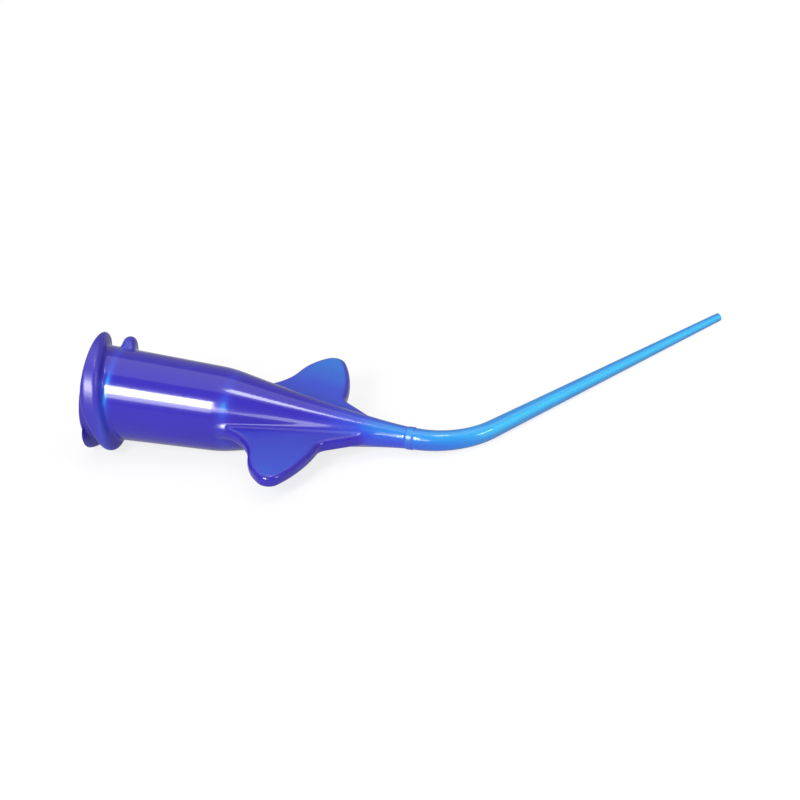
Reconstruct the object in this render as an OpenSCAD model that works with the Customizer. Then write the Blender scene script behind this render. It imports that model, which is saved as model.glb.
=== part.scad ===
// Irrigation tip: one moulding in translucent blue polypropylene, lying on a table.
// A tapered syringe socket with two lock lugs, a nose cone with two finger wings,
// and a fine bent tube that narrows to its open end. Sizes are in millimetres.

/* [Syringe socket] */
// Bore at the mouth of the socket
socket_mouth_d = 4.3; // [4.1:0.05:4.5]
// Narrowing of the bore, in percent of its length
socket_taper = 6; // [4:0.5:8]
// Depth of the tapered bore
socket_depth = 8.6; // [7.5:0.1:9]
// Chamfer round the mouth
mouth_chamfer = 0.2; // [0.1:0.05:0.3]

/* [Hub] */
// Outside of the hub at the mouth
hub_mouth_d = 6.2; // [5.9:0.1:6.5]
// Outside of the hub where the shoulder starts
hub_end_d = 5.55; // [5.4:0.05:5.8]
// Length of the hub, mouth to shoulder
hub_l = 9.5; // [9.2:0.1:11]
// Rounding of the outer edge at the mouth
mouth_edge = 0.15; // [0.05:0.05:0.25]

/* [Lock lugs] */
// Across the crests of the lugs
lug_d = 7.8; // [7.2:0.1:8.2]
// Advance of a lug in one full turn
lug_lead = 3.7; // [3:0.1:5]
// Turn of a lug from its mid-line leaving the mouth to its end, in degrees
lug_turn = 205; // [150:5:240]
// Direction in which the first lug leaves the mouth, in degrees from the bend
lug_phase = 47; // [0:1:180]
// Width of a lug at its root
lug_root_w = 1.35; // [1.1:0.05:1.5]
// Width of a lug at its crest
lug_crest_w = 0.75; // [0.4:0.05:0.9]
// Rounding of the crest's corners
lug_corner = 0.14; // [0.05:0.01:0.2]
// Run-out over which a lug's end sinks into the hub, in degrees
lug_runout = 28; // [15:1:45]
// Set-back of the lugs behind the mouth's face
lug_setback = 0.2; // [0.05:0.05:0.3]

/* [Nose cone] */
// Length of the cone, hub to witness ring
cone_l = 12.25; // [11:0.05:14]
// Outside of the cone at its wide end, carried back to the hub's end
cone_start_d = 5.5; // [5.3:0.05:5.7]
// Outside of the cone at the witness ring
cone_end_d = 1.46; // [1.36:0.02:1.5]
// Hollow of the cone's outline: 1 is straight
cone_flare = 1.3; // [1.1:0.02:1.5]
// Length of the rounded shoulder between hub and cone
shoulder_l = 1.6; // [0.8:0.1:2.4]
// Bore of the chamber behind the socket
chamber_d = 3.1; // [2.6:0.1:3.2]
// Length of the chamber
chamber_l = 3.5; // [2:0.1:4]
// Bore at the wide end of the flow channel
channel_d = 1.9; // [1.2:0.1:2.2]

/* [Tube] */
// Outside of the witness ring where the cone ends
ring_d = 1.52; // [1.5:0.02:1.9]
// Width of the witness ring
ring_w = 0.45; // [0.3:0.05:0.8]
// Outside of the tube at the ring
tube_d = 1.42; // [1.2:0.02:1.46]
// Outside of the tube at its open end
tip_d = 0.48; // [0.4:0.02:0.8]
// Bore of the tube at the ring
neck_bore_d = 0.72; // [0.4:0.02:0.8]
// Bore of the tube at its open end
tip_bore_d = 0.26; // [0.2:0.02:0.3]
// Radius of the bend, on the tube's middle
bend_r = 5.15; // [4:0.05:8]
// Angle of the bend, in degrees
bend_angle = 59; // [40:1:75]
// Straight run from the bend to the open end
run_l = 21; // [12:0.1:26]
// Share of the tube's narrowing that comes early, in the bend
early_taper = 0.26; // [0:0.01:0.5]

/* [Wings] */
// Distance of the wing tips from the mouth
wing_x = 14.45; // [14:0.05:14.9]
// Reach of a wing tip from the axis
wing_reach = 7.78; // [6.9:0.02:8.8]
// Thickness of a wing
wing_t = 0.88; // [0.72:0.02:1]
// Radius of the wing tip's outline
wing_tip_r = 0.95; // [0.8:0.05:1.2]
// Radius of the full edge that faces the mouth
wing_lead_r = 4; // [3:0.25:6]
// Lean at which that edge leaves the tip, in degrees
wing_lead_lean = 50; // [42:1:56]
// Radius of the full edge that faces the tube
wing_trail_r = 10; // [7:0.5:14]
// Lean at which that edge leaves the tip, in degrees
wing_trail_lean = 30; // [24:1:36]
// Radius of the hollow between the leading edge and the hub
wing_lead_hollow = 3.6; // [2.8:0.1:3.9]
// Radius of the hollow between the trailing edge and its shelf
wing_trail_hollow = 0.9; // [0.6:0.1:1.4]
// Lean of the shelf that runs from the trailing edge down to the cone, in degrees
wing_shelf_lean = 33; // [28:1:38]
// Distance from the mouth at which the shelf has run out into the cone
wing_shelf_end = 19.45; // [19:0.05:20]
// Rounding of the wing's edges
wing_edge_r = 0.35; // [0.15:0.01:0.35]

/* [Hidden] */

// Facets of turned faces, of the tube and of its bore
$fn = 96;
tube_sides = 28;
bore_sides = 18;
// Steps of the bend, of the straight run, of rounded edges and of outline arcs
bend_steps = 14;
run_steps = 8;
edge_steps = 4;
hollow_steps = 8;
bulge_steps = 5;
tip_steps = 9;
shoulder_steps = 10;
cone_steps = 8;
// Turn between two sections of a lug
lug_step = 6;
// How far one form is sunk into another, and how far a cut runs past a face
sink = 0.3;
past = 0.5;
// Straight land between the witness ring and the bend
bend_land = 0.12;
// Step in radius from the flow channel down to the tube's bore
neck_step = 0.03;
// How sharply the tube's early narrowing falls off
early_power = 4;
// How far a wing's hollow lies under the hub's side
wing_seat = 0.04;
// Most that the tube may roll the moulding, in degrees
roll_most = 12;
// Height left at the end of a lug's run-out, and the least step along its cut-off face
sunk_rise = 0.1;
hair = 0.004;

ring_z = hub_l + cone_l;
ring_end = ring_z + ring_w;
bend_z = ring_end + bend_land;
chamber_end = socket_depth + chamber_l;
bend_l = bend_r * bend_angle * PI / 180;
tube_l = bend_l + run_l;
lead_in = bend_z - ring_z + sink;
// Slopes of cone and hub where they meet, and the gap between their sides that is rounded
cone_slope = cone_flare * (cone_start_d - cone_end_d) / 2 / cone_l;
hub_slope = (hub_mouth_d - hub_end_d) / 2 / hub_l;
shoulder_h = (cone_slope - hub_slope) * shoulder_l / 2;

function mix(a, b, t) = a + (b - a) * t;

// Radius of the hub, of the cone and of the socket at a height over the mouth
function hub_r(z) = mix(hub_mouth_d, hub_end_d, z / hub_l) / 2;

function cone_r(z) =
    mix(cone_end_d, cone_start_d, pow((ring_z - z) / cone_l, cone_flare)) / 2;

function socket_r(z) = (socket_mouth_d - socket_taper / 100 * z) / 2;

// Radius of hub and cone together, with the break between them rounded
function body_r(z) =
    let (hub = hub_r(z), cone = cone_r(z))
    let (close = max(0, shoulder_h - abs(hub - cone)))
    min(hub, cone) - close * close / shoulder_h / 4;

// Radius of the tube and of its bore at a distance along it from the bend's start
function tube_r(s) =
    let (rest = 1 - max(s, 0) / tube_l)
    mix(tip_d, tube_d, mix(rest, pow(rest, early_power), early_taper)) / 2;

function bore_r(s) = mix(neck_bore_d, tip_bore_d, max(s, 0) / tube_l) / 2;

// Heading of the tube's middle, in degrees from the hub's axis, and the point there
function heading(s) = max(0, min(s, bend_l)) / bend_r * 180 / PI;

function middle(s) =
    let (a = heading(s))
    let (straight = s - max(0, min(s, bend_l)))
    [
        bend_r * (1 - cos(a)) + straight * sin(a),
        0,
        bend_z + bend_r * sin(a) + straight * cos(a)
    ];

// One ring of points round the tube's middle
function tube_ring(s, r, sides) =
    let (a = heading(s))
    [
        for (i = [0:sides - 1])
            let (t = 360 * i / sides)
            middle(s) + r * [cos(t) * cos(a), sin(t), -cos(t) * sin(a)]
    ];

// Faces of a closed skin over a stack of rings that all have the same even number of points.
// Each end is a strip of quads across the ring, so that it follows a hollow outline.
function skin_faces(rings, sides) =
    let (last = rings * sides - 1)
    concat(
        [
            for (i = [0:sides / 2 - 2])
                [i, i + 1, sides - 2 - i, sides - 1 - i]
        ],
        [
            for (k = [0:rings - 2], i = [0:sides - 1])
                let (j = (i + 1) % sides)
                [k * sides + i, (k + 1) * sides + i, (k + 1) * sides + j, k * sides + j]
        ],
        [
            for (i = [0:sides / 2 - 2])
                [last - i, last - i - 1, last - sides + 2 + i, last - sides + 1 + i]
        ]
    );

module skin(rings) {
    sides = len(rings[0]);
    polyhedron([for (ring = rings) each ring], skin_faces(len(rings), sides), convexity = 6);
}

// Stations along the tube: a lead-in inside the cone, the bend and the straight run
function stations(lead, over) = concat(
    [-lead],
    [for (i = [0:bend_steps]) bend_l * i / bend_steps],
    [for (i = [1:run_steps]) bend_l + (run_l + (i == run_steps ? over : 0)) * i / run_steps]
);

module tube_outside() {
    skin([for (s = stations(lead_in, 0)) tube_ring(s, tube_r(s), tube_sides)]);
}

module tube_bore() {
    skin([for (s = stations(lead_in, past)) tube_ring(s, bore_r(min(s, tube_l)), bore_sides)]);
}

// Outline of the shoulder, from before its rounding to behind it
shoulder = [
    for (i = [0:shoulder_steps])
        let (z = hub_l + shoulder_l * (2 * i / shoulder_steps - 1))
        [body_r(z), z]
];

// Hub, shoulder, cone and witness ring, turned about the hub's axis
module body_outside() {
    cone = [
        for (i = [1:cone_steps])
            let (z = mix(hub_l + shoulder_l, ring_z, i / cone_steps))
            [body_r(z), z]
    ];
    rotate_extrude()
        polygon(concat(
            [[0, 0], [hub_mouth_d / 2 - mouth_edge, 0], [hub_r(mouth_edge), mouth_edge]],
            shoulder,
            cone,
            [[ring_d / 2, ring_z], [ring_d / 2, ring_end], [0, ring_end]]
        ));
}

// Socket, chamber and flow channel as one turned cut
module body_bore() {
    rotate_extrude()
        polygon([
            [0, -past],
            [socket_mouth_d / 2 + mouth_chamfer + past, -past],
            [socket_r(mouth_chamfer), mouth_chamfer],
            [socket_r(socket_depth), socket_depth],
            [chamber_d / 2, socket_depth],
            [chamber_d / 2, chamber_end],
            [channel_d / 2, chamber_end],
            [neck_bore_d / 2 + neck_step, ring_z],
            [0, ring_z]
        ]);
}

// Section of a lug, top flank to bottom flank, as offsets along the hub and radii
function lug_section(rise) =
    let (root = lug_root_w / 2, crest = lug_crest_w / 2)
    let (inner = hub_end_d / 2 - sink)
    let (outer = mix(inner, lug_d / 2, rise))
    let (corner = lug_corner * rise)
    [
        [root, inner],
        [crest + corner / 2, outer - corner],
        [crest - corner, outer],
        [corner - crest, outer],
        [-crest - corner / 2, outer - corner],
        [-root, inner]
    ];

// A lug climbs the hub as a thread does, is cut off at the mouth and sinks away at its end
module lug() {
    start = (lug_setback + lug_corner - lug_crest_w / 2) / lug_lead * 360;
    count = ceil((lug_turn - start) / lug_step);
    skin([
        for (k = [0:count])
            let (turn = mix(start, lug_turn, k / count))
            let (left = min(1, (lug_turn - turn) / lug_runout))
            let (section = lug_section(mix(sunk_rise, 1, sqrt(left * (2 - left)))))
            let (last = len(section) - 1)
            [
                for (i = [0:last])
                    let (p = section[i])
                    let (z = max(lug_setback + (last - i) * hair, lug_lead * turn / 360 + p[0]))
                    [p[1] * cos(lug_phase + turn), p[1] * sin(lug_phase + turn), z]
            ]
    ]);
}

// Points of an arc but its last, as distances from the hub's axis and heights over the mouth
function arc(centre, r, from, to, steps) = [
    for (i = [0:steps - 1])
        let (a = mix(from, to, i / steps))
        centre + r * [cos(a), sin(a)]
];

// Centre of a full edge that leaves the tip at a lean, as seen from the wing's middle
function bulge_at(r, lean) =
    [wing_reach - wing_tip_r, 0] - (r - wing_tip_r) * [sin(lean), cos(lean)];

// Centre of a hollow at a distance from a full edge's centre and beside a leaning line
function hollow_at(bulge, apart, line_lean, beside) =
    let (out = [cos(line_lean), sin(line_lean)])
    let (along = [-sin(line_lean), cos(line_lean)])
    let (climb = sqrt(apart * apart - pow(beside - bulge * out, 2)))
    beside * out + (bulge * along + climb) * along;

// Outline of a wing, drawn in by an inset: hollow, full edge, round tip, full edge, hollow and shelf.
// Each touches the next. The first hollow touches the hub's side, and the shelf sinks into the cone.
function wing_outline(inset) =
    let (tip = [wing_reach - wing_tip_r, wing_x])
    let (out = [cos(wing_shelf_lean), sin(wing_shelf_lean)])
    let (along = [-sin(wing_shelf_lean), cos(wing_shelf_lean)])
    let (shelf = [body_r(wing_shelf_end), wing_shelf_end - wing_x])
    let (lead = bulge_at(wing_lead_r, wing_lead_lean))
    let (lead_apart = wing_lead_r + wing_lead_hollow)
    let (lead_beside = hub_end_d / 2 - wing_seat + wing_lead_hollow)
    let (lead_dip = hollow_at(lead, lead_apart, 0, lead_beside))
    let (lead_turn = asin((lead_dip[0] - lead[0]) / lead_apart))
    let (trail = bulge_at(wing_trail_r, wing_trail_lean))
    let (trail_apart = wing_trail_r + wing_trail_hollow)
    let (trail_beside = shelf * out + wing_trail_hollow)
    let (trail_dip = hollow_at(trail, trail_apart, wing_shelf_lean, trail_beside))
    let (trail_turn = asin((trail_dip[0] - trail[0]) / trail_apart))
    concat(
        [[(hub_end_d + chamber_d) / 4, wing_x - lead_dip[1]]],
        arc(
            [lead_dip[0], wing_x - lead_dip[1]],
            wing_lead_hollow + inset,
            180,
            90 + lead_turn,
            hollow_steps
        ),
        arc(
            [lead[0], wing_x - lead[1]],
            wing_lead_r - inset,
            lead_turn - 90,
            wing_lead_lean - 90,
            bulge_steps
        ),
        arc(tip, wing_tip_r - inset, wing_lead_lean - 90, 90 - wing_trail_lean, tip_steps),
        arc(
            [trail[0], wing_x + trail[1]],
            wing_trail_r - inset,
            90 - wing_trail_lean,
            90 - trail_turn,
            bulge_steps
        ),
        arc(
            [trail_dip[0], wing_x + trail_dip[1]],
            wing_trail_hollow + inset,
            270 - trail_turn,
            180 + wing_shelf_lean,
            hollow_steps
        ),
        [
            [trail_dip[0], wing_x + trail_dip[1]] - (wing_trail_hollow + inset) * out,
            [shelf[0], wing_shelf_end] - inset * out + past * along
        ]
    );

// A flat wing with rounded edges, built up from outlines across its thickness
module wing() {
    rounding = [
        for (i = [0:edge_steps])
            let (a = 90 * i / edge_steps)
            [wing_edge_r * (1 - sin(a)), wing_t / 2 - wing_edge_r * (1 - cos(a))]
    ];
    levels = concat(
        rounding,
        [for (i = [edge_steps:-1:0]) [rounding[i][0], -rounding[i][1]]]
    );
    skin([
        for (level = levels)
            [for (p = wing_outline(level[0])) [p[0], level[1], p[1]]]
    ]);
}

// Lying pose. The moulding rests on a lug, on the hub's shoulder and on the tube.
// Pitch about the lugs and the shoulder, and the level of the table under the axis.
lug_foot = lug_lead * ((270 - lug_phase) % 180) / 360 + lug_crest_w / 2 - lug_corner;

// Slope at which the table touches the lug and a round of a radius at a height over the mouth
function slope_to(r, z) = (lug_d / 2 - r) / (z - lug_foot);

table_slope = min(concat(
    [for (p = shoulder) slope_to(p[0], p[1])],
    [for (s = stations(0, 0)) slope_to(tube_r(s) - middle(s)[0] * sin(roll_most), middle(s)[2])]
));
table_drop = lug_d / 2 + table_slope * lug_foot;
rest_pitch = atan(table_slope);

// Height to which a station of the tube has to be rolled to clear the table
function lift(s) = table_slope * middle(s)[2] - table_drop + tube_r(s) / cos(rest_pitch);

rest_roll = asin(max([for (s = stations(0, 0)) if (s > 0) lift(s) / middle(s)[0]]));

module lie_down() {
    rotate([0, rest_pitch, 0])
        rotate([rest_roll, 0, 0])
            rotate([90, 0, 90])
                children();
}

// The whole moulding, standing on its mouth
module moulding() {
    difference() {
        union() {
            body_outside();
            tube_outside();
            for (turn = [0, 180])
                rotate([0, 0, turn]) {
                    lug();
                    wing();
                }
        }
        body_bore();
        tube_bore();
    }
}

module irrigation_tip() {
    color("mediumblue")
        lie_down()
            moulding();
}

irrigation_tip();
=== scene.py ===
"""Looks of a moulded dental irrigation tip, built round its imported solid.

The moulding is one closed skin. It runs down the flow path from the socket's mouth to the tube's open end and back
along the outside, so it has no seam, no pole and a true wall. Lengths are in millimetres and turns in radians, in the
moulding's own axes: the third along the hub from its mouth, the first towards the bend, the second across the wings.
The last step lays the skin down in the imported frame, in metres.
"""

import logging
import math
from dataclasses import dataclass
from enum import Enum

import bpy
import numpy as np
from mathutils import Matrix, Vector


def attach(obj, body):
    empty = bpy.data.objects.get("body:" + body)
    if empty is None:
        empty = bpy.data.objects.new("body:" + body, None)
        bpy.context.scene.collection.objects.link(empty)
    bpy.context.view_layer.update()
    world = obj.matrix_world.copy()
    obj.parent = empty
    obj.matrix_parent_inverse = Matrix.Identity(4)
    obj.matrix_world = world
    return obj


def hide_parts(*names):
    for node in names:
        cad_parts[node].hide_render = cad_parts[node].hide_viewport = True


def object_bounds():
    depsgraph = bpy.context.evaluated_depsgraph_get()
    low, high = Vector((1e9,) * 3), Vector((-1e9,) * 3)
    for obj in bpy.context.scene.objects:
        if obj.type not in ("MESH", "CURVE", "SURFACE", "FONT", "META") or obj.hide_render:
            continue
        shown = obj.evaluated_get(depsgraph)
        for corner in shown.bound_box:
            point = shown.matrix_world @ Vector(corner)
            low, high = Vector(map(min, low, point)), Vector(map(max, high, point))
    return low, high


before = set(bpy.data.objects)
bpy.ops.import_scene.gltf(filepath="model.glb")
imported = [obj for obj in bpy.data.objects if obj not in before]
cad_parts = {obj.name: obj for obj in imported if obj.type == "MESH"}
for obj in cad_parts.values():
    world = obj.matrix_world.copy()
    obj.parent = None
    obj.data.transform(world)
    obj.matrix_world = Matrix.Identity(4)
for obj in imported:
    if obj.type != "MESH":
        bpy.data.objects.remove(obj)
CAD_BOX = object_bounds()

log = logging.getLogger("irrigation_tip")

MM = 0.001
NODE = "irrigation_tip"
BODY = "root"
# Depth of plastic that sets the colour, with painted light and shade worked into it
DEPTH_AND_LIGHT_ATTRIBUTE = "depth_and_painted_light"
SATIN_ATTRIBUTE = "satin"

Array = np.ndarray


def mix(low: Array | float, high: Array | float, share: Array | float) -> Array | float:
    """Go from low to high by a share of the way."""
    return low + (high - low) * share


def ease(share: Array | float) -> Array | float:
    """Slow a share from 0 to 1 at both of its ends: three times its square less twice its cube."""
    held = np.clip(share, 0.0, 1.0)
    return held * held * (3.0 - 2.0 * held)


def soft_least(first: Array, second: Array, blend: float) -> Array:
    """Take the lesser of two lengths, with the break between them rounded.

    Where they are equal it is lowered by a quarter of the blend, and elsewhere by the square of their closeness. Of
    signed distances this joins two forms with a rounded inner corner.

    Args:
        first: Radii of one form or signed distances to it, negative inside.
        second: The same for the other form.
        blend: Difference within which the two forms flow together.

    Returns:
        Radii of the joined form or signed distances to it.
    """
    close = np.maximum(blend - np.abs(first - second), 0.0) / blend
    return np.minimum(first, second) - close * close * blend / 4.0


def soft_most(first: Array, second: Array, blend: float) -> Array:
    """Take the greater of two signed distances, which crosses two forms with a rounded outer corner."""
    return -soft_least(-first, -second, blend)


@dataclass(frozen=True)
class Socket:
    """Tapered syringe socket and the flow channel behind it."""

    mouth_d: float = 4.3
    taper: float = 0.06
    depth: float = 8.6
    chamfer: float = 0.2
    chamber_d: float = 3.1
    chamber_l: float = 3.5
    channel_d: float = 1.9
    step_round: float = 0.08

    def radius(self, z: Array | float) -> Array | float:
        """Radius of the tapered wall at a depth below the mouth."""
        return (self.mouth_d - self.taper * z) / 2.0

    @property
    def chamber_end(self) -> float:
        """Depth at which the chamber ends and the channel starts."""
        return self.depth + self.chamber_l


@dataclass(frozen=True)
class Hub:
    """Outside of the hub, a slim cone with a rounded mouth edge."""

    mouth_d: float = 6.2
    end_d: float = 5.55
    length: float = 9.5
    mouth_edge: float = 0.15

    def radius(self, z: Array) -> Array:
        """Radius over the length: a straight line, drawn in by a quarter round at the mouth."""
        wall = mix(self.mouth_d, self.end_d, z / self.length) / 2.0
        short = np.clip(self.mouth_edge - z, 0.0, self.mouth_edge)
        return wall - self.mouth_edge + np.sqrt(self.mouth_edge**2 - short**2)


@dataclass(frozen=True)
class LockLugs:
    """Two lock lugs that climb the hub as a two-start thread does."""

    across: float = 7.8
    lead: float = 3.7
    turn: float = math.radians(205.0)
    phase: float = math.radians(47.0)
    root_w: float = 1.35
    crest_w: float = 0.75
    corner: float = 0.2
    front_w: float = 0.45
    front_turns: tuple[float, float] = (math.radians(115.0), math.radians(165.0))
    runout: float = math.radians(28.0)
    setback: float = 0.2
    root_r: float = 2.475
    root_blend: float = 0.16
    cut_round: float = 0.07
    back_reach: float = math.radians(70.0)

    def distance(self, r: Array, turn: Array, z: Array) -> Array:
        """Signed distance to the nearer lug.

        A lug is a ridge whose mid-line advances in proportion to its turn. Its height falls to nothing over the
        run-out as a quarter ellipse does, its flanks lean in from root to crest, and a flat face cuts it off behind
        the mouth. Over its first part it is wider towards the mouth.

        Args:
            r: Distances from the hub's axis.
            turn: Turns about it from the bend's side.
            z: Distances from the mouth.

        Returns:
            Signed distances, negative inside a lug.
        """
        start = np.mod(turn - self.phase + self.back_reach, math.pi) - self.back_reach
        other = start + math.pi
        return np.minimum(self._one(r, start, z), self._one(r, other, z))

    def _one(self, r: Array, turned: Array, z: Array) -> Array:
        """Signed distance to a lug, given the turn from where its mid-line leaves the mouth."""
        left = np.clip((self.turn - turned) / self.runout, 0.0, 1.0)
        top = mix(self.root_r, self.across / 2.0, np.sqrt(left * (2.0 - left)))
        behind = z - self.lead * turned / math.tau
        first, last = self.front_turns
        front = self.front_w * (1.0 - ease((turned - first) / (last - first)))
        aside = np.maximum(behind, -behind - front)
        slant = (self.root_w - self.crest_w) / 2.0 / (self.across / 2.0 - self.root_r)
        flank = (aside - self.crest_w / 2.0 - (top - r) * slant) / math.hypot(1.0, slant)
        ridge = soft_most(r - top, flank, 2.0 * self.corner)
        return soft_most(ridge, self.setback - z, self.cut_round)


@dataclass(frozen=True)
class NoseCone:
    """Nose cone from the hub's shoulder to the witness ring."""

    length: float = 12.25
    start_d: float = 5.5
    end_d: float = 1.46
    flare: float = 1.3
    shoulder_l: float = 1.6
    ring_d: float = 1.52
    ring_w: float = 0.45
    ring_edge: float = 0.03

    def radius(self, left: Array) -> Array:
        """Radius at a length left before the ring: a power over one hollows the cone a little."""
        share = np.clip(left / self.length, 0.0, None) ** self.flare
        return mix(self.end_d, self.start_d, share) / 2.0


class Edge(Enum):
    """The two edges of a wing: the one that faces the mouth and the one that faces the tube."""

    LEAD = -1
    TRAIL = 1


@dataclass(frozen=True)
class FingerWings:
    """Two flat wings in the plane of the bend, with rounded edges, full flanks and hollow roots."""

    z: float = 14.45
    reach: float = 7.78
    thick: float = 0.88
    tip_r: float = 0.95
    lead_r: float = 4.0
    lead_lean: float = math.radians(50.0)
    trail_r: float = 10.0
    trail_lean: float = math.radians(30.0)
    lead_hollow: float = 3.6
    trail_hollow: float = 0.9
    edge_r: float = 0.35
    lead_foot: float = 2.735
    lead_recede: float = 0.25
    shelf_lean: float = math.radians(33.0)
    shelf_x: float = 0.9596
    shelf_z: float = 19.45
    root_blend: float = 0.3

    @property
    def tip_x(self) -> float:
        """Distance of the tip round's centre from the hub's axis."""
        return self.reach - self.tip_r

    def inset(self, x: Array, z: Array) -> Array:
        """Distance inside the wing's outline.

        Beyond the ends of both edges the round tip is nearest. Elsewhere it is the nearer of the edges that reach
        so far.

        Args:
            x: Distances from the hub's axis.
            z: Distances from the mouth.

        Returns:
            Distances, positive inside the wing.
        """
        lead, lead_run = self._inset_from(Edge.LEAD, x, z)
        trail, trail_run = self._inset_from(Edge.TRAIL, x, z)
        tip = self.tip_r - np.hypot(x - self.tip_x, z - self.z)
        edges = np.minimum(np.where(lead_run < 0.0, self.reach, lead), np.where(trail_run < 0.0, self.reach, trail))
        return np.where((lead_run < 0.0) & (trail_run < 0.0), tip, edges)

    def _inset_from(self, edge: Edge, x: Array, z: Array) -> tuple[Array, Array]:
        """Distance inside one edge, which is a full arc, a hollow arc and a line down the body.

        The full arc touches the round tip, where it has its lean. The hollow arc touches the full one and the line,
        so the three distances meet without a step. The line runs along the hub or as a shelf down to the cone.

        Args:
            edge: Which edge is meant.
            x: Distances from the hub's axis.
            z: Distances from the mouth.

        Returns:
            Distances, positive inside the wing, and how far along the edge each point lies from the round tip.
        """
        if edge is Edge.LEAD:
            full_r, lean, hollow_r = self.lead_r, self.lead_lean, self.lead_hollow
            line_lean, line_x, recede = 0.0, self.lead_foot, self.lead_recede
        else:
            full_r, lean, hollow_r = self.trail_r, self.trail_lean, self.trail_hollow
            line_lean, recede = self.shelf_lean, 0.0
            line_x = self.shelf_x * math.cos(line_lean) + (self.shelf_z - self.z) * math.sin(line_lean)
        cosine, sine = math.cos(line_lean), math.sin(line_lean)
        up = (z - self.z) * edge.value
        full_x = self.tip_x - (full_r - self.tip_r) * math.sin(lean)
        full_up = -(full_r - self.tip_r) * math.cos(lean)
        apart, beside = full_r + hollow_r, line_x + hollow_r
        across = beside - full_x * cosine - full_up * sine
        climb = full_up * cosine - full_x * sine + math.sqrt(apart**2 - across**2)
        hollow_x = beside * cosine - climb * sine
        hollow_up = beside * sine + climb * cosine
        turn = math.asin((hollow_x - full_x) / apart)
        run = (self.tip_x - x) * math.cos(lean) + up * math.sin(lean)
        reached = (full_x - x) * math.cos(turn) + (up - full_up) * math.sin(turn)
        full = full_r - np.hypot(x - full_x, up - full_up)
        hollow = np.hypot(x - hollow_x, up - hollow_up) - hollow_r
        past = (up - hollow_up) * cosine - (x - hollow_x) * sine
        line = line_x - x * cosine - up * sine - recede * past
        return np.where(reached < 0.0, full, np.where(past < 0.0, hollow, line)), run

    def distance(self, x: Array, y: Array, z: Array) -> Array:
        """Signed distance to the wings: their outline, carried through the thickness, with rounded edges."""
        out = self.edge_r - self.inset(np.abs(x), z)
        over = np.abs(y) - self.thick / 2.0 + self.edge_r
        outer = np.hypot(np.maximum(out, 0.0), np.maximum(over, 0.0))
        return np.minimum(np.maximum(out, over), 0.0) + outer - self.edge_r


@dataclass(frozen=True)
class BentTube:
    """Fine tube that leaves the cone, bends once and runs straight to its open end."""

    start_z: float = 22.32
    start_d: float = 1.43
    end_d: float = 0.56
    neck_bore_d: float = 0.72
    end_bore_d: float = 0.26
    bend_r: float = 5.15
    bend: float = math.radians(59.0)
    run_l: float = 21.0
    early_taper: float = 0.12
    early_power: float = 4.0
    end_edge: float = 0.05

    @property
    def bend_l(self) -> float:
        """Length of the bend along the tube's middle."""
        return self.bend_r * self.bend

    @property
    def length(self) -> float:
        """Length of the tube's middle from the bend's start to the open end."""
        return self.bend_l + self.run_l

    def radius(self, s: Array) -> Array:
        """Radius along the tube: a straight taper mixed with a power that narrows it early."""
        rest = 1.0 - np.clip(s, 0.0, None) / self.length
        share = mix(rest, rest**self.early_power, self.early_taper)
        return mix(self.end_d, self.start_d, share) / 2.0

    def bore(self, s: Array) -> Array:
        """Radius of the bore along the tube, a straight taper."""
        return mix(self.neck_bore_d, self.end_bore_d, np.clip(s, 0.0, None) / self.length) / 2.0

    def path(self, s: Array) -> tuple[Array, Array]:
        """Middle of the moulding at stations along it.

        A straight line up the hub's axis, an arc and a straight line that touches it.

        Args:
            s: Stations, counted from the bend's start and negative before it.

        Returns:
            Points of the middle, and the headings there from the hub's axis.
        """
        heading = np.clip(s, 0.0, self.bend_l) / self.bend_r
        straight = s - np.clip(s, 0.0, self.bend_l)
        aside = self.bend_r * (1.0 - np.cos(heading)) + straight * np.sin(heading)
        along = self.start_z + self.bend_r * np.sin(heading) + straight * np.cos(heading)
        return np.stack([aside, np.zeros_like(s), along], axis=-1), heading


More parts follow.
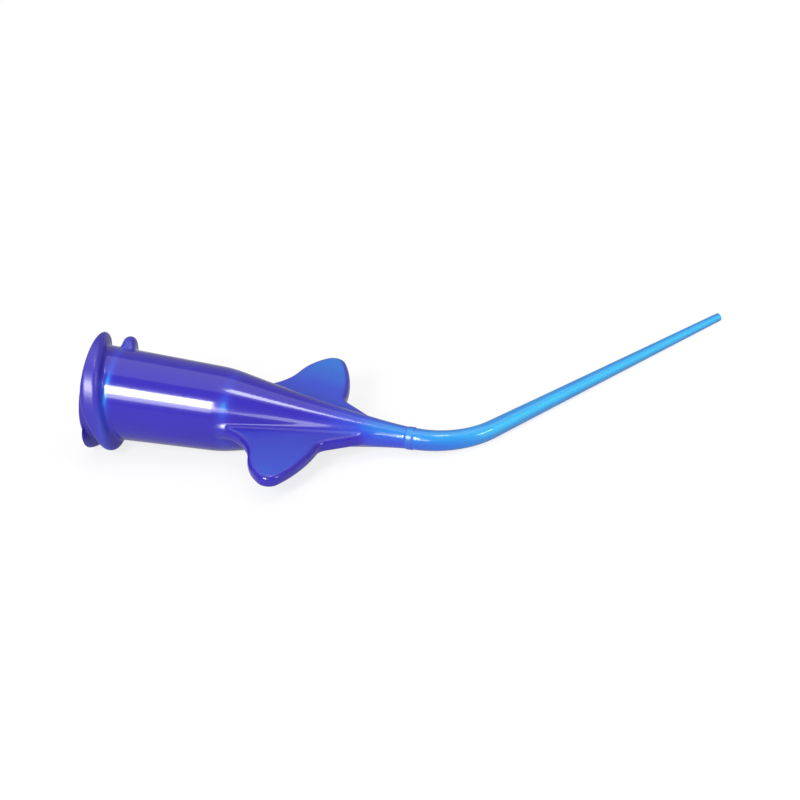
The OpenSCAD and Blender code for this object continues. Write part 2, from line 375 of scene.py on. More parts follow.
@dataclass(frozen=True)
class BluePolypropylene:
    """Translucent dyed polypropylene: azure where little of it is in the way, violet blue where it is deep."""

    name: str = "blue_polypropylene"
    deepest: float = 2.4
    depths: tuple[float, ...] = (0.1, 0.3, 0.52, 0.7, 0.86, 1.3, 1.9)
    colours: tuple[tuple[int, int, int], ...] = (
        (84, 226, 255),
        (58, 196, 252),
        (46, 165, 232),
        (30, 125, 218),
        (45, 72, 206),
        (46, 43, 184),
        (43, 27, 172),
    )
    roughness: float = 0.2
    roughness_spread: float = 0.2
    ior: float = 1.49
    clear_depths: tuple[float, float] = (0.25, 1.2)
    clear_shares: tuple[float, float] = (0.2, 0.12)
    coat: float = 0.8
    coat_roughness: float = 0.04
    satin_roughness: float = 0.36
    satin_coat: float = 0.1
    satin_specular: float = 1.0
    cloud_mm: float = 2.6
    cloud_detail: float = 3.0
    cloud_share: float = 0.1
    grain_mm: float = 0.5
    grain_detail: float = 4.0
    grain_bump: float = 0.008

    @staticmethod
    def linear(colour: tuple[int, int, int]) -> tuple[float, float, float, float]:
        """Turn display values from 0 to 255 into linear light, by the curve of standard displays."""
        shares = [c / 255.0 for c in colour]
        light = [c / 12.92 if c <= 0.04045 else ((c + 0.055) / 1.055) ** 2.4 for c in shares]
        return (*light, 1.0)

    def material(self) -> bpy.types.Material:
        """Build the plastic.

        Its colour follows the depth of plastic that the skin carries, with painted light and shade worked into it and
        a faint cloud of dye, and where it is deep it lets less light through. Where the skin is satin, it is rougher
        and less coated. The gloss has a fine moulded grain.

        Returns:
            The finished material.
        """
        made = bpy.data.materials.new(self.name)
        made.use_nodes = True
        nodes, links = made.node_tree.nodes, made.node_tree.links
        shader = nodes["Principled BSDF"]
        shader.inputs["IOR"].default_value = self.ior
        shader.inputs["Coat Roughness"].default_value = self.coat_roughness
        place = nodes.new("ShaderNodeTexCoord")

        depth = nodes.new("ShaderNodeAttribute")
        depth.attribute_name = DEPTH_AND_LIGHT_ATTRIBUTE
        cloud = nodes.new("ShaderNodeTexNoise")
        cloud.inputs["Scale"].default_value = 1.0 / (self.cloud_mm * MM)
        cloud.inputs["Detail"].default_value = self.cloud_detail
        links.new(place.outputs["Object"], cloud.inputs["Vector"])
        stir = nodes.new("ShaderNodeMapRange")
        stir.inputs["To Min"].default_value = (1.0 - self.cloud_share) / self.deepest
        stir.inputs["To Max"].default_value = (1.0 + self.cloud_share) / self.deepest
        links.new(cloud.outputs["Fac"], stir.inputs["Value"])
        share = nodes.new("ShaderNodeMath")
        share.operation = "MULTIPLY"
        links.new(depth.outputs["Fac"], share.inputs[0])
        links.new(stir.outputs["Result"], share.inputs[1])
        ramp = nodes.new("ShaderNodeValToRGB")
        stops = ramp.color_ramp.elements
        for extra in range(len(self.depths) - len(stops)):
            stops.new(extra / len(self.depths))
        for stop, at, colour in zip(stops, self.depths, self.colours):
            stop.position = at / self.deepest
            stop.color = self.linear(colour)
        links.new(share.outputs["Value"], ramp.inputs["Fac"])
        links.new(ramp.outputs["Color"], shader.inputs["Base Color"])
        clear = nodes.new("ShaderNodeMapRange")
        clear.inputs["From Min"].default_value, clear.inputs["From Max"].default_value = self.clear_depths
        clear.inputs["To Min"].default_value, clear.inputs["To Max"].default_value = self.clear_shares
        links.new(depth.outputs["Fac"], clear.inputs["Value"])
        links.new(clear.outputs["Result"], shader.inputs["Transmission Weight"])

        satin = nodes.new("ShaderNodeAttribute")
        satin.attribute_name = SATIN_ATTRIBUTE
        coat = nodes.new("ShaderNodeMapRange")
        coat.inputs["To Min"].default_value = self.coat
        coat.inputs["To Max"].default_value = self.satin_coat
        links.new(satin.outputs["Fac"], coat.inputs["Value"])
        links.new(coat.outputs["Result"], shader.inputs["Coat Weight"])
        mirror = nodes.new("ShaderNodeMapRange")
        mirror.inputs["To Min"].default_value = shader.inputs["Specular IOR Level"].default_value
        mirror.inputs["To Max"].default_value = self.satin_specular
        links.new(satin.outputs["Fac"], mirror.inputs["Value"])
        links.new(mirror.outputs["Result"], shader.inputs["Specular IOR Level"])
        grain = nodes.new("ShaderNodeTexNoise")
        grain.inputs["Scale"].default_value = 1.0 / (self.grain_mm * MM)
        grain.inputs["Detail"].default_value = self.grain_detail
        links.new(place.outputs["Object"], grain.inputs["Vector"])
        gloss = nodes.new("ShaderNodeMapRange")
        gloss.inputs["To Min"].default_value = self.roughness * (1.0 - self.roughness_spread)
        gloss.inputs["To Max"].default_value = self.roughness * (1.0 + self.roughness_spread)
        links.new(grain.outputs["Fac"], gloss.inputs["Value"])
        sheen = nodes.new("ShaderNodeMapRange")
        sheen.inputs["To Max"].default_value = self.satin_roughness
        links.new(satin.outputs["Fac"], sheen.inputs["Value"])
        links.new(gloss.outputs["Result"], sheen.inputs["To Min"])
        links.new(sheen.outputs["Result"], shader.inputs["Roughness"])
        bump = nodes.new("ShaderNodeBump")
        bump.inputs["Strength"].default_value = self.grain_bump
        bump.inputs["Distance"].default_value = self.grain_mm * MM
        links.new(grain.outputs["Fac"], bump.inputs["Height"])
        links.new(bump.outputs["Normal"], shader.inputs["Normal"])
        return made


@dataclass(frozen=True)
class Skin:
    """Grid of points by row and column, with the depth of plastic, painted light and shade in it, and the satin at
    each.
    """

    points: Array
    depth: Array
    satin: Array


@dataclass(frozen=True)
class PaintedGlow:
    """Painted glow: a band round the hub painted paler, as light that got into the plastic would leave it, by its
    distance from the mouth and its half width.

    The power narrows the two opposite sides where the painted light gathers. The shares are what it takes off the
    depth between those sides and on them.
    """

    z: float
    half: float
    power: int
    shares: tuple[float, float]

    def left(self, turn: Array, z: Array) -> Array:
        """Share of the depth that is left: a bell along the hub, times an even power of a wave round it."""
        band = np.exp(-(((z - self.z) / self.half) ** 2))
        return 1.0 - mix(*self.shares, np.cos(turn) ** self.power) * band


@dataclass(frozen=True)
class Shading:
    """Depths of plastic, which set the colour with painted light and shade worked in, and shares of satin over the
    skin.

    The rim lies round the mouth. The neck is the cone's narrow end, and the run is the tube behind its bend. The feet
    are where the wings' leading edges run out on the hub. The glows, the factor round the neck and bend and the
    streak along the run are painted light and shade. The wing away from the bend is painted deeper, as shade, the one
    towards it paler, as light, and their depths are those at the root and at the tip. Satin is 1 where the plastic is
    dull.
    """

    lug_rise: float = 0.2
    rim_end: float = 1.0
    rim_fade: float = 0.5
    wall_reach: float = 1.6
    wall_samples: int = 17
    # Turn where the painted glows and the painted streak of light are strongest
    painted_light_turn: float = math.radians(144.0)
    # Painted glows: paler bands of painted light at the lugs' roots and at the shoulder
    painted_glows: tuple[PaintedGlow, ...] = (PaintedGlow(1.8, 0.32, 8, (0.4, 0.72)), PaintedGlow(9.8, 0.55, 30, (0.4, 0.68)))
    cone_from: float = 14.0
    cone_depth: float = 0.8
    # Painted light and shade round neck and bend: paler on two opposite sides, deeper between them
    neck_from: float = 16.5
    neck_bright_turn: float = math.radians(120.0)
    neck_light_shade_power: int = 4
    neck_light_shade_shares: tuple[float, float] = (1.13, 0.84)
    ring_satin: float = 0.8
    run_rise: tuple[float, float] = (0.55, 1.05)
    run_depth: float = 0.62
    # Painted streak of light along the tube behind the bend
    painted_streak_power: int = 8
    painted_streak_share: float = 0.6
    wing_rise: float = 0.6
    # Painted shade on the wing away from the bend, painted light on the one towards it
    shaded_wing_depths: tuple[float, float] = (1.15, 0.84)
    lit_wing_depths: tuple[float, float] = (0.9, 0.73)
    wing_edge_depth: float = 2.2
    face_satin: float = 0.8
    foot_y: float = 0.3
    foot_z: float = 9.75
    foot_reach: float = 0.45
    foot_satin: float = 0.85

    def neck_light_and_shade(self, turn: Array) -> Array:
        """Factor of the depth round neck and bend, painted light and shade: least on two opposite sides, where light
        is painted, and greater between them, where shade is painted, by an even power of a cosine.
        """
        return mix(*self.neck_light_shade_shares, np.cos(turn - self.neck_bright_turn) ** self.neck_light_shade_power)


@dataclass(frozen=True)
class RowBand:
    """A stretch of the hub and cone, given by its end and the step between its rows."""

    end: float
    step: float


@dataclass(frozen=True)
class SkinGrid:
    """How finely the skin is divided: its columns, its rows and the small steps at its edges.

    The columns are measured at dense turns over a quarter and averaged over neighbouring rows. The outside is looked
    for between two radii. Lands, crease and lip edge keep the corners of the round profile narrow.
    """

    fine_columns: int = 240
    coarse_columns: int = 60
    column_rows: int = 6
    dense_turns: int = 700
    turning_share: float = 0.5
    radii: tuple[float, float] = (0.2, 9.0)
    halvings: int = 28
    socket_rows: int = 24
    chamber_rows: int = 8
    channel_rows: int = 20
    bore_rows: int = 70
    tube_rows: int = 110
    mouth_land: float = 0.05
    tube_land: float = 0.02
    crease: float = 0.01
    lip_edge: float = 0.015
    bands: tuple[RowBand, ...] = (
        RowBand(0.3, 0.02),
        RowBand(3.2, 0.04),
        RowBand(9.0, 0.3),
        RowBand(10.4, 0.06),
        RowBand(16.1, 0.05),
        RowBand(17.0, 0.03),
        RowBand(19.8, 0.07),
        RowBand(21.75, 0.16),
    )


@dataclass(frozen=True)
class IrrigationTip:
    """The whole moulding: its parts, its finish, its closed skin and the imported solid's lying pose."""

    socket: Socket = Socket()
    hub: Hub = Hub()
    lugs: LockLugs = LockLugs()
    cone: NoseCone = NoseCone()
    wings: FingerWings = FingerWings()
    tube: BentTube = BentTube()
    finish: BluePolypropylene = BluePolypropylene()
    shading: Shading = Shading()
    grid: SkinGrid = SkinGrid()
    lug_end: float = 3.2
    wing_start: float = 9.0
    pitch: float = math.radians(7.58321)
    roll: float = math.radians(3.49912)

    @property
    def ring_z(self) -> float:
        """Where the cone ends and the witness ring starts."""
        return self.hub.length + self.cone.length

    @property
    def shoulder_blend(self) -> float:
        """Gap between the sides of hub and cone within which the shoulder is rounded, from their slopes."""
        cone_slope = self.cone.flare * (self.cone.start_d - self.cone.end_d) / 2.0 / self.cone.length
        hub_slope = (self.hub.mouth_d - self.hub.end_d) / 2.0 / self.hub.length
        return (cone_slope - hub_slope) * self.cone.shoulder_l / 2.0

    def body_radius(self, z: Array) -> Array:
        """Radius of hub and cone: the lesser of the two, with the break between them rounded."""
        return soft_least(self.hub.radius(z), self.cone.radius(self.ring_z - z), self.shoulder_blend)

    def bore_radius(self, z: Array) -> Array:
        """Radius of the flow path inside hub and cone: socket, chamber and channel."""
        end = self.socket.chamber_end
        channel = mix(
            self.socket.channel_d, self.tube.neck_bore_d, np.clip((z - end) / (self.ring_z - end), 0.0, 1.0)
        )
        inner = np.where(z < end, self.socket.chamber_d, channel) / 2.0
        return np.where(z < self.socket.depth, self.socket.radius(z), inner)

    def mean_bore(self, z: Array) -> Array:
        """Radius of the flow path averaged over a reach to both sides, as light spreads within the plastic."""
        reach = self.shading.wall_reach
        shifts = np.linspace(-reach, reach, self.shading.wall_samples)
        return sum(self.bore_radius(z + shift) for shift in shifts) / len(shifts)

    def wall_depth(self, turn: Array, z: Array) -> Array:
        """Depth of plastic in hub and cone.

        Twice the wall, less where a painted glow takes some off, and led over into an even depth along the cone. On
        the neck it varies round the axis with painted light and shade, paler on two opposite sides and deeper between
        them.

        Args:
            turn: Turns about the hub's axis.
            z: Distances from the mouth.

        Returns:
            Depths of plastic.
        """
        shading = self.shading
        wall = 2.0 * (self.body_radius(z) - self.mean_bore(z))
        # Painted glows take depth off, so the hub is painted paler there
        for glow in shading.painted_glows:
            wall = wall * glow.left(turn - shading.painted_light_turn, z)
        depth = mix(wall, shading.cone_depth, ease((z - shading.cone_from) / (self.ring_z - shading.cone_from)))
        neck = ease((z - shading.neck_from) / (self.ring_z - shading.neck_from))
        # Painted light and shade round the neck
        return depth * mix(1.0, shading.neck_light_and_shade(turn), neck)

    def painted_streak(self, s: Array, turn: Array) -> Array:
        """Share by which a painted streak of light makes the tube paler.

        An even power of a cosine round the tube, highest on two opposite sides, that rises behind the bend.

        Args:
            s: Stations from the bend's start, one for each row.
            turn: Turns about the tube's middle, one for each column.

        Returns:
            Shares by row and column.
        """
        # Painted streak of light, paler on two opposite sides of the tube
        wave = np.cos(turn[None, :] - self.shading.painted_light_turn) ** self.shading.painted_streak_power
        return self.shading.painted_streak_share * self.behind_bend(s)[:, None] * wave

    def behind_bend(self, s: Array) -> Array:
        """Rise from 0 in the bend to 1 on the straight run, between two shares of the bend's length."""
        first, last = self.shading.run_rise
        return ease((s / self.tube.bend_l - first) / (last - first))

    def distance(self, r: Array, turn: Array, z: Array) -> Array:
        """Signed distance to the outside of hub, lugs, cone and wings."""
        body = r - self.body_radius(z)
        wing = self.wings.distance(r * np.cos(turn), r * np.sin(turn), z)
        lug = self.lugs.distance(r, turn, z)
        joined = soft_least(body, lug, self.lugs.root_blend)
        return soft_least(joined, wing, self.wings.root_blend)

    def radius(self, turn: Array, z: Array) -> Array:
        """Radius of the outside in a direction: where the signed distance is nought, found by halving."""
        shape = np.broadcast_shapes(turn.shape, z.shape)
        low, high = (np.full(shape, limit) for limit in self.grid.radii)
        for _ in range(self.grid.halvings):
            middle = (low + high) / 2.0
            inside = self.distance(middle, turn, z) < 0.0
            low, high = np.where(inside, middle, low), np.where(inside, high, middle)
        return (low + high) / 2.0

    def rows(self) -> Array:
        """Distances from the mouth of the rows round hub and cone, closest where the form turns sharply."""
        bands = self.grid.bands
        starts = [0.0] + [band.end for band in bands[:-1]]
        parts = [
            np.linspace(start, band.end, round((band.end - start) / band.step), endpoint=False)
            for start, band in zip(starts, bands)
        ]
        return np.append(np.concatenate(parts), self.ring_z)

    def columns(self, z: Array) -> Array:
        """Turns of the columns on each row.

        Over the wings the columns follow the section: equal shares of its length plus a share of its turning, worked
        out on a quarter and mirrored. Elsewhere they are even, and an average over neighbouring rows leads from one
        to the other.

        Args:
            z: Rows, as distances from the mouth.

        Returns:
            Turns, one row of columns for each z.
        """
        count = self.grid.fine_columns // 4
        dense = math.pi / 2.0 * np.linspace(0.0, 1.0, self.grid.dense_turns) ** 2
        turn = np.broadcast_to(dense, (len(z), dense.size))
        r = self.radius(turn, z[:, None])
        dx, dy = np.diff(r * np.cos(turn), axis=1), np.diff(r * np.sin(turn), axis=1)
        heading = np.unwrap(np.arctan2(dy, dx), axis=1)
        bends = np.abs(np.diff(heading, axis=1, prepend=heading[:, :1]))
        weight = np.hypot(dx, dy) + self.grid.turning_share * bends
        reached = np.concatenate([np.zeros((len(z), 1)), np.cumsum(weight, axis=1)], axis=1)
        reached /= reached[:, -1:]
        lift = 2.0 * np.arange(len(z))[:, None]
        wanted = np.linspace(0.0, 1.0, count + 1)[None, :] + lift
        quarter = np.interp(wanted.ravel(), (reached + lift).ravel(), turn.ravel()).reshape(len(z), -1)
        even = np.broadcast_to(np.linspace(0.0, math.pi / 2.0, count + 1), quarter.shape)
        quarter = np.where(z[:, None] < self.wing_start, even, quarter)
        reach = self.grid.column_rows
        spread = np.concatenate([quarter[:1].repeat(reach, axis=0), quarter, even[:reach]])
        summed = np.cumsum(np.concatenate([np.zeros_like(even[:1]), spread]), axis=0)
        quarter = (summed[2 * reach + 1 :] - summed[: -2 * reach - 1]) / (2 * reach + 1)
        quarter[-1] = even[-1]
        there, back = quarter[:, :-1], quarter[:, :0:-1]
        return np.concatenate([there, math.pi - back, math.pi + there, math.tau - back], axis=1)

    def fine_skin(self) -> Skin:
        """Outside of hub, lugs, cone and wings, from the witness ring back to the mouth.

        The depth is the wall's on hub and cone, and on the wings it goes from root to tip and is greatest along the
        edges. The wing away from the bend is painted deeper, as shade, and the one towards it paler, as light.

        Returns:
            The grid of this part, with the mouth as its last row.
        """
        shading = self.shading
        z = self.rows()
        turn = self.columns(z)
        z = z[:, None]
        r = self.radius(turn, z)
        x, y = r * np.cos(turn), r * np.sin(turn)
        points = np.stack([x, y, np.broadcast_to(z, r.shape)], axis=-1)
        body = self.body_radius(z)
        on_wing = ease((r - body) / shading.wing_rise) * (z > self.wing_start)
        edge = ease(1.0 - self.wings.inset(np.abs(x), z) / self.wings.edge_r)
        outward = ease((np.abs(x) - body) / (self.wings.reach - body))
        # Painted shade on the wing away from the bend (x < 0), painted light on the other
        low, high = mix(*shading.shaded_wing_depths, outward), mix(*shading.lit_wing_depths, outward)
        wing = mix(np.where(x < 0.0, low, high), shading.wing_edge_depth, edge)
        depth = mix(self.wall_depth(turn, z), wing, on_wing)
        near_rim = (shading.rim_end - z) / shading.rim_fade
        lugs = ease(np.maximum((r - body) / shading.lug_rise, near_rim)) * (z < self.lug_end)
        aside = np.hypot(np.abs(x) - self.wings.lead_foot, np.abs(y) - shading.foot_y)
        feet = np.exp(-((np.hypot(aside, z - shading.foot_z) / shading.foot_reach) ** 2))
        faces = on_wing * (1.0 - edge)
        satin = np.maximum(lugs, np.maximum(shading.foot_satin * feet, shading.face_satin * faces))
        return Skin(points[::-1], depth[::-1], satin[::-1])

    def coarse_profile(self) -> tuple[Array, int, int]:
        """Profile of everything that is round, from the mouth down the flow path and back over the tube.

        Returns:
            Stations from the bend's start with their radii, and how many of them lie inside and on the witness ring.
        """
        sock, tube, cone, grid = self.socket, self.tube, self.cone, self.grid
        z0, soft = tube.start_z, sock.step_round
        flat = sock.mouth_d / 2.0 + sock.chamfer
        mouth = [
            (0.0, flat + grid.mouth_land),
            (0.0, flat),
            (grid.crease, flat - grid.lip_edge),
            (sock.chamfer - grid.crease, sock.radius(sock.chamfer) + grid.crease),
        ]
        wall_z = np.linspace(sock.chamfer + grid.crease, sock.depth - soft, grid.socket_rows)
        wall = list(zip(wall_z, sock.radius(wall_z)))
        floor = [
            (sock.depth - soft / 4.0, sock.radius(sock.depth) - soft / 4.0),
            (sock.depth, sock.radius(sock.depth) - soft),
            (sock.depth, sock.chamber_d / 2.0 + soft / 2.0),
            (sock.depth + soft / 2.0, sock.chamber_d / 2.0),
        ]
        end = sock.chamber_end
        chamber_z = np.linspace(sock.depth + 2 * soft, end - soft, grid.chamber_rows)
        chamber = [(z, sock.chamber_d / 2.0) for z in chamber_z]
        step = [
            (end - soft / 4.0, sock.chamber_d / 2.0 - soft / 4.0),
            (end, sock.chamber_d / 2.0 - soft),
            (end, sock.channel_d / 2.0 + soft / 2.0),
            (end + soft / 2.0, sock.channel_d / 2.0),
        ]
        channel_z = np.linspace(end + 2 * soft, self.ring_z, grid.channel_rows)
        channel = list(zip(channel_z, self.bore_radius(channel_z)))
        inner_s = np.linspace(0.0, tube.length - tube.end_edge, grid.bore_rows)
        inner = list(zip(inner_s + z0, tube.bore(inner_s)))
        lip_in, lip_out = float(tube.bore(tube.length)), float(tube.radius(np.array(tube.length)))
        last = z0 + tube.length
        lip = [
            (last, lip_in + grid.lip_edge),
            (last, lip_out - tube.end_edge),
            (last - grid.lip_edge, lip_out - grid.lip_edge),
        ]
        outer_s = np.linspace(tube.length - tube.end_edge, grid.tube_land, grid.tube_rows)
        outer = list(zip(outer_s + z0, tube.radius(outer_s)))
        ring_end, ring_r, edge = self.ring_z + cone.ring_w, cone.ring_d / 2.0, cone.ring_edge
        ring = [
            (ring_end + edge, float(tube.radius(np.array(0.0)))),
            (ring_end + edge / 3.0, ring_r - edge),
            (ring_end - edge / 2.0, ring_r - edge / 4.0),
            (ring_end - edge * 2.0, ring_r),
            (self.ring_z + edge * 2.0, ring_r),
            (self.ring_z + edge / 2.0, ring_r - edge / 4.0),
        ]
        inside = mouth + wall + floor + chamber + step + channel + inner
        outside = lip + outer + ring
        return np.array(inside + outside, dtype=float) - np.array([z0, 0.0]), len(inside), len(ring)

    def coarse_skin(self) -> Skin:
        """Round part of the skin: the profile carried along the bent middle.

        Inside, the depth is the wall's. Outside it is twice the wall, with painted light and shade round the bend,
        led over into an even depth behind it and less along a painted streak of light. The witness ring is satin.

        Returns:
            The grid of this part.
        """
        profile, inside, ring = self.coarse_profile()
        s, r = profile[:, 0], profile[:, 1]
        middle, heading = self.tube.path(s)
        turn = np.linspace(0.0, math.tau, self.grid.coarse_columns, endpoint=False)
        aside = np.stack([np.cos(heading), np.zeros_like(heading), -np.sin(heading)], axis=-1)
        across = np.array([0.0, 1.0, 0.0])
        spoke = np.cos(turn)[None, :, None] * aside[:, None, :] + np.sin(turn)[None, :, None] * across
        points = middle[:, None, :] + r[:, None, None] * spoke
        z = s + self.tube.start_z
        hub_wall = self.body_radius(z) - self.bore_radius(z)
        wall = np.where(s < 0.0, hub_wall, self.tube.radius(s) - self.tube.bore(s))[:, None]
        # Painted light and shade round neck and bend
        around = 2.0 * wall * self.shading.neck_light_and_shade(turn)
        even = mix(around, self.shading.run_depth, self.behind_bend(s)[:, None])
        # Painted streak of light makes the tube paler behind the bend
        outer = even * (1.0 - self.painted_streak(s, turn))
        row = np.arange(len(s))[:, None]
        depth = np.where(row < inside, wall, outer)
        satin = np.where(row < len(s) - ring, 0.0, self.shading.ring_satin)
        return Skin(points, depth, np.broadcast_to(satin, depth.shape))

    def lie_down(self, points: Array) -> Array:
        """Lay points of the moulding on the table, in metres.

        The hub is pitched nose down, on a lug and on its shoulder, and rolled until the tube lies on the table too.

        Args:
            points: Points in the moulding's own axes.

        Returns:
            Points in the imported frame.
        """
        turned = np.array(Matrix.Rotation(self.pitch, 3, "Y") @ Matrix.Rotation(self.roll, 3, "X"))
        return points[:, [2, 0, 1]] @ turned.T * MM

    def faces(self, coarse_rows: int, fine_rows: int) -> tuple[Array, Array]:
        """Faces of the closed skin.

        Each grid is quads. Where a coarse ring meets a fine one, every coarse side takes a fan of five triangles.

        Args:
            coarse_rows: Number of coarse rings, which come first.
            fine_rows: Number of fine rings.

        Returns:
            Quads and triangles, as indices of points.
        """
        columns, fine_columns = self.grid.coarse_columns, self.grid.fine_columns
        per_side = fine_columns // columns
        half = per_side // 2
        base = coarse_rows * columns
        coarse = np.arange(base).reshape(coarse_rows, -1)
        fine = base + np.arange(fine_rows * fine_columns).reshape(fine_rows, -1)
        quads = np.concatenate([self._quads(coarse), self._quads(fine)])
        side = np.arange(columns)
        ahead = (side + 1) % columns
        fans = []
        for ring, rim, turned in ((coarse[-1], fine[0], False), (coarse[0], fine[-1], True)):
            step = [rim[(side * per_side + k) % fine_columns] for k in range(per_side + 1)]
            here, there = ring[side], ring[ahead]
            parts = [(here, step[k], step[k + 1]) for k in range(half)]
            parts += [(here, step[half], there)]
            parts += [(there, step[k], step[k + 1]) for k in range(half, per_side)]
            fan = np.concatenate([np.stack(part, axis=-1) for part in parts])
            fans.append(fan[:, ::-1] if turned else fan)
        return quads, np.concatenate(fans)

    @staticmethod
    def _quads(index: Array) -> Array:
        """Quads between neighbouring rings of a grid that closes on itself round each ring."""
        ahead = np.roll(index, -1, axis=1)
        parts = (index[:-1], index[1:], ahead[1:], ahead[:-1])
        return np.stack(parts, axis=-1).reshape(-1, 4)

    def build(self) -> bpy.types.Object:
        """Make the skin's mesh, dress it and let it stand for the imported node.

        Returns:
            The finished piece.
        """
        coarse, fine = self.coarse_skin(), self.fine_skin()
        points = np.concatenate([coarse.points.reshape(-1, 3), fine.points.reshape(-1, 3)])
        quads, fans = self.faces(len(coarse.points), len(fine.points))
        mesh = bpy.data.meshes.new("moulded_tip")
        mesh.from_pydata(self.lie_down(points).tolist(), [], quads.tolist() + fans.tolist())
        mesh.polygons.foreach_set("use_smooth", np.ones(len(mesh.polygons), dtype=bool))
        for name, round_part, fine_part in (
            (DEPTH_AND_LIGHT_ATTRIBUTE, coarse.depth, fine.depth),
            (SATIN_ATTRIBUTE, coarse.satin, fine.satin),
        ):
            carried = mesh.attributes.new(name, "FLOAT", "POINT")
            values = np.concatenate([round_part.ravel(), fine_part.ravel()])
            carried.data.foreach_set("value", values.astype(np.float32))
        mesh.materials.append(self.finish.material())
        mesh.validate()
        mesh.update()
        piece = bpy.data.objects.new("moulded_tip", mesh)
        bpy.context.scene.collection.objects.link(piece)
        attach(piece, BODY)
        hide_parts(NODE)
        log.info("moulded tip: %d points, %d faces", len(mesh.vertices), len(mesh.polygons))
        return piece


@dataclass(frozen=True)
class SoftBox:
    """A rectangular soft light, placed by its bearing and height about the object."""

    name: str
    azimuth: float
    elevation: float
    distance: float
    width: float
    height: float
    power: float

    def place(self, centre: Vector) -> bpy.types.Object:
        """Hang the light so that it faces a point, with its width level.

        Args:
            centre: The point that it lights.

        Returns:
            The light.
        """
        lamp = bpy.data.lights.new(self.name, "AREA")
        lamp.shape = "RECTANGLE"
        lamp.size, lamp.size_y = self.width, self.height
        lamp.energy = self.power
        made = bpy.data.objects.new(self.name, lamp)
        bpy.context.scene.collection.objects.link(made)
        back = bearing(self.azimuth, self.elevation)
        made.location = centre + back * self.distance
        made.rotation_mode = "QUATERNION"
        made.rotation_quaternion = (-back).to_track_quat("-Z", "Y")
        log.info("light: %s", self.name)
        return made


def bearing(azimuth: float, elevation: float) -> Vector:
    """Unit vector towards an azimuth, counted from the front towards the right, and an elevation, in degrees."""
    around, up = math.radians(azimuth), math.radians(elevation)
    return Vector((math.sin(around) * math.cos(up), -math.cos(around) * math.cos(up), math.sin(up)))


@dataclass(frozen=True)
class PhotoCamera:
    """Camera at the photograph's viewing angle and distance, aimed at the tip and drawn closer by its lens."""

    azimuth: float = 20.39
    elevation: float = 25.65
    picture_roll: float = -7.53
    distance: float = 0.3579
    photo_lens: float = 135.0
    closer: float = 1.8
    sensor: float = 36.0
    clip: tuple[float, float] = (0.01, 20.0)

    def place(self, piece: bpy.types.Object) -> bpy.types.Object:
        """Put up the camera so that the piece's outline is centred in a square picture.

        Args:
            piece: The object that is looked at.

        Returns:
            The camera, which is also the scene's camera.
        """
        low, high = CAD_BOX
        back = bearing(self.azimuth, self.elevation)
        eye = (low + high) / 2.0 + back * self.distance
        side = Vector((0.0, 0.0, 1.0)).cross(back).normalized()
        level = Matrix((side, back.cross(side), back))
        axes = Matrix.Rotation(-math.radians(self.picture_roll), 3, "Z") @ level
        points = np.empty(len(piece.data.vertices) * 3, dtype=np.float32)
        piece.data.vertices.foreach_get("co", points)
        seen = (points.reshape(-1, 3) - np.array(eye)) @ np.array(axes).T
        spread = -seen[:, :2] / seen[:, 2:]
        aim = (spread.min(axis=0) + spread.max(axis=0)) / 2.0
        forward = axes.transposed() @ Vector((float(aim[0]), float(aim[1]), -1.0))
        back = -forward.normalized()
        right = (axes[0] - back * axes[0].dot(back)).normalized()
        data = bpy.data.cameras.new("photo_camera")
        data.sensor_width = self.sensor
        data.lens = self.photo_lens * self.closer
        data.clip_start, data.clip_end = self.clip
        made = bpy.data.objects.new("photo_camera", data)
        bpy.context.scene.collection.objects.link(made)
        turned = Matrix((right, back.cross(right), back)).transposed()
        made.matrix_world = Matrix.Translation(eye) @ turned.to_4x4()
        bpy.context.scene.camera = made
        log.info("camera: lens %.0f mm at %.3f m", data.lens, self.distance)
        return made


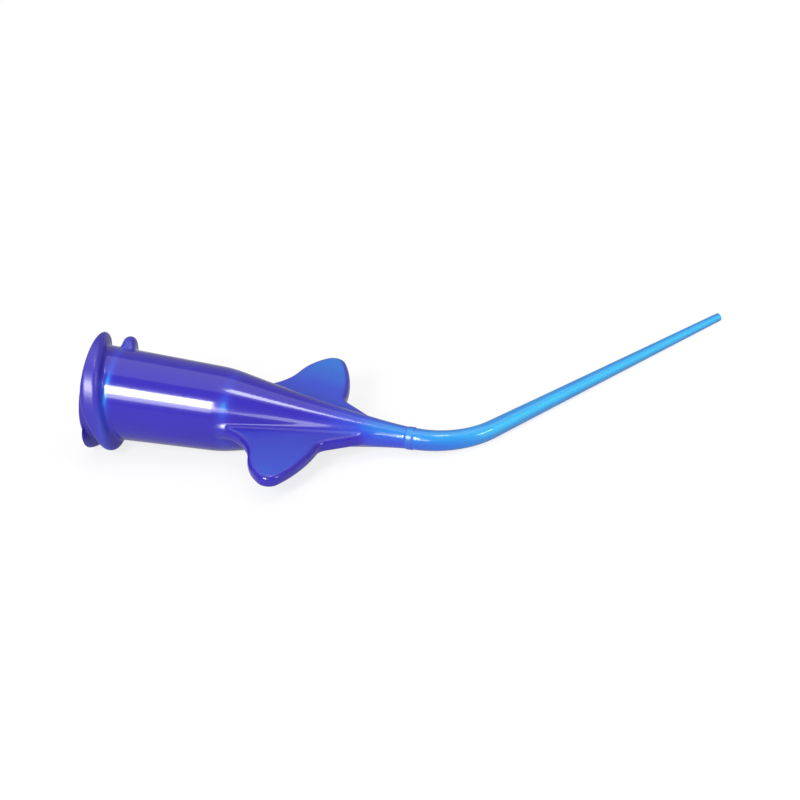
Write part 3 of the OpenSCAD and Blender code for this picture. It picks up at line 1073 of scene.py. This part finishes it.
@dataclass(frozen=True)
class Studio:
    """Pale floor, white surround and soft lights."""

    floor_half: float = 3.0
    floor_white: float = 0.9
    floor_glow: float = 0.8
    surround: float = 0.45
    mirrored: float = 0.32
    boxes: tuple[SoftBox, ...] = (
        SoftBox("key_box", -14.0, 35.0, 0.8, 0.225, 0.26, 3.7),
        SoftBox("key_fringe", -14.0, 20.5, 0.8, 0.225, 0.14, 0.5),
        SoftBox("key_end", -3.6, 35.0, 0.8, 0.07, 0.26, 0.4),
        SoftBox("cone_low", 3.0, 25.0, 0.8, 0.2, 0.17, 0.43),
        SoftBox("cone_high", 67.0, 77.0, 0.8, 0.14, 0.11, 0.48),
        SoftBox("bend_box", 84.0, 23.5, 0.8, 0.28, 0.12, 0.8),
        SoftBox("ceiling", 180.0, 80.0, 0.9, 1.4, 0.9, 2.6),
    )

    def build(self) -> None:
        """Lay the floor, set the surround and hang the lights."""
        low, high = CAD_BOX
        self.lay_floor(low.z)
        self.set_surround()
        for box in self.boxes:
            box.place((low + high) / 2.0)

    def shown(self, tree: bpy.types.NodeTree) -> tuple[bpy.types.NodeSocket, bpy.types.NodeSocket]:
        """Tell rays that look at the surround from those that gather its light.

        Args:
            tree: Nodes of the surface or world that is looked at.

        Returns:
            Whether a ray looks (1) or gathers (0), and how bright it finds white: full for the camera and through
            the plastic, dimmer in the gloss.
        """
        path = tree.nodes.new("ShaderNodeLightPath")

        def either(first: bpy.types.NodeSocket, second: bpy.types.NodeSocket) -> bpy.types.NodeSocket:
            """Add a node that gives the greater of two values."""
            node = tree.nodes.new("ShaderNodeMath")
            node.operation = "MAXIMUM"
            tree.links.new(first, node.inputs[0])
            tree.links.new(second, node.inputs[1])
            return node.outputs["Value"]

        full = either(path.outputs["Is Camera Ray"], path.outputs["Is Transmission Ray"])
        level = tree.nodes.new("ShaderNodeMapRange")
        level.inputs["To Min"].default_value = self.mirrored
        level.inputs["To Max"].default_value = 1.0
        tree.links.new(full, level.inputs["Value"])
        return either(full, path.outputs["Is Glossy Ray"]), level.outputs["Result"]

    def lay_floor(self, level: float) -> bpy.types.Object:
        """Lay a white floor that shows as white and still takes the object's shadow.

        Args:
            level: Height of the floor.

        Returns:
            The floor.
        """
        half = self.floor_half
        mesh = bpy.data.meshes.new("floor")
        corners = [(-half, -half, level), (half, -half, level), (half, half, level), (-half, half, level)]
        mesh.from_pydata(corners, [], [(0, 1, 2, 3)])
        paint = bpy.data.materials.new("white_floor")
        paint.use_nodes = True
        tree = paint.node_tree
        matte = tree.nodes["Principled BSDF"]
        matte.inputs["Base Color"].default_value = (self.floor_white,) * 3 + (1.0,)
        matte.inputs["Roughness"].default_value = 1.0
        matte.inputs["Specular IOR Level"].default_value = 0.0
        glow = tree.nodes.new("ShaderNodeEmission")
        share = tree.nodes.new("ShaderNodeMath")
        share.operation = "MULTIPLY"
        share.inputs[1].default_value = self.floor_glow
        looks, white = self.shown(tree)
        tree.links.new(white, glow.inputs["Strength"])
        tree.links.new(looks, share.inputs[0])
        blend = tree.nodes.new("ShaderNodeMixShader")
        tree.links.new(share.outputs["Value"], blend.inputs["Fac"])
        tree.links.new(matte.outputs["BSDF"], blend.inputs[1])
        tree.links.new(glow.outputs["Emission"], blend.inputs[2])
        tree.links.new(blend.outputs["Shader"], tree.nodes["Material Output"].inputs["Surface"])
        mesh.materials.append(paint)
        floor = bpy.data.objects.new("floor", mesh)
        bpy.context.scene.collection.objects.link(floor)
        log.info("floor at %.5f m", level)
        return floor

    def set_surround(self) -> None:
        """Make the world white where it is looked at and dimmer as a light."""
        world = bpy.data.worlds.new("white_surround")
        world.use_nodes = True
        tree = world.node_tree
        lit = tree.nodes["Background"]
        lit.inputs["Color"].default_value = (1.0, 1.0, 1.0, 1.0)
        strength = tree.nodes.new("ShaderNodeMapRange")
        strength.inputs["To Min"].default_value = self.surround
        looks, white = self.shown(tree)
        tree.links.new(looks, strength.inputs["Value"])
        tree.links.new(white, strength.inputs["To Max"])
        tree.links.new(strength.outputs["Result"], lit.inputs["Strength"])
        bpy.context.scene.world = world


def main() -> None:
    """Build the tip, its studio and its camera."""
    logging.basicConfig(level=logging.INFO, format="%(message)s")
    bpy.context.scene.view_settings.view_transform = "Standard"
    piece = IrrigationTip().build()
    Studio().build()
    PhotoCamera().place(piece)
    bpy.context.view_layer.update()


if __name__ == "__main__":
    main()
